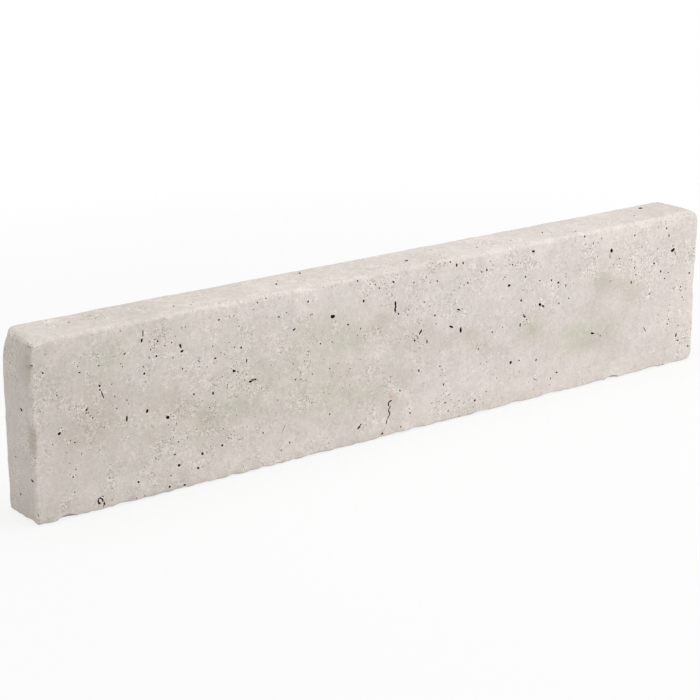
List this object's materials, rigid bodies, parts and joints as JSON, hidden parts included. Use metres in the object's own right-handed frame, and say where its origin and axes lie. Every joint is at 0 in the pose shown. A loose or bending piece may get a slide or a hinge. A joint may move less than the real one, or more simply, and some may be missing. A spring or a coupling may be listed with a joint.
{
  "type": "travertine kerb",
  "caption": "Long upright block of pale pitted travertine with worn, rounded arrises, set on edge to border a road, path or lawn.",
  "frame": {"origin": "on the bed, at the middle of the block's length and thickness", "axes": "+X along the length, from the left end to the right end as one faces the front; the front face is at -Y and the back at +Y; +Z from the bed to the top"},
  "size_m": [1, 0.07, 0.21],
  "materials": {
    "travertine": "matt honed stone, tumbled arrises, open dark pits"
  },
  "bodies": {
    "root": {"kerb_stone": "travertine"}
  },
  "joints": []
}
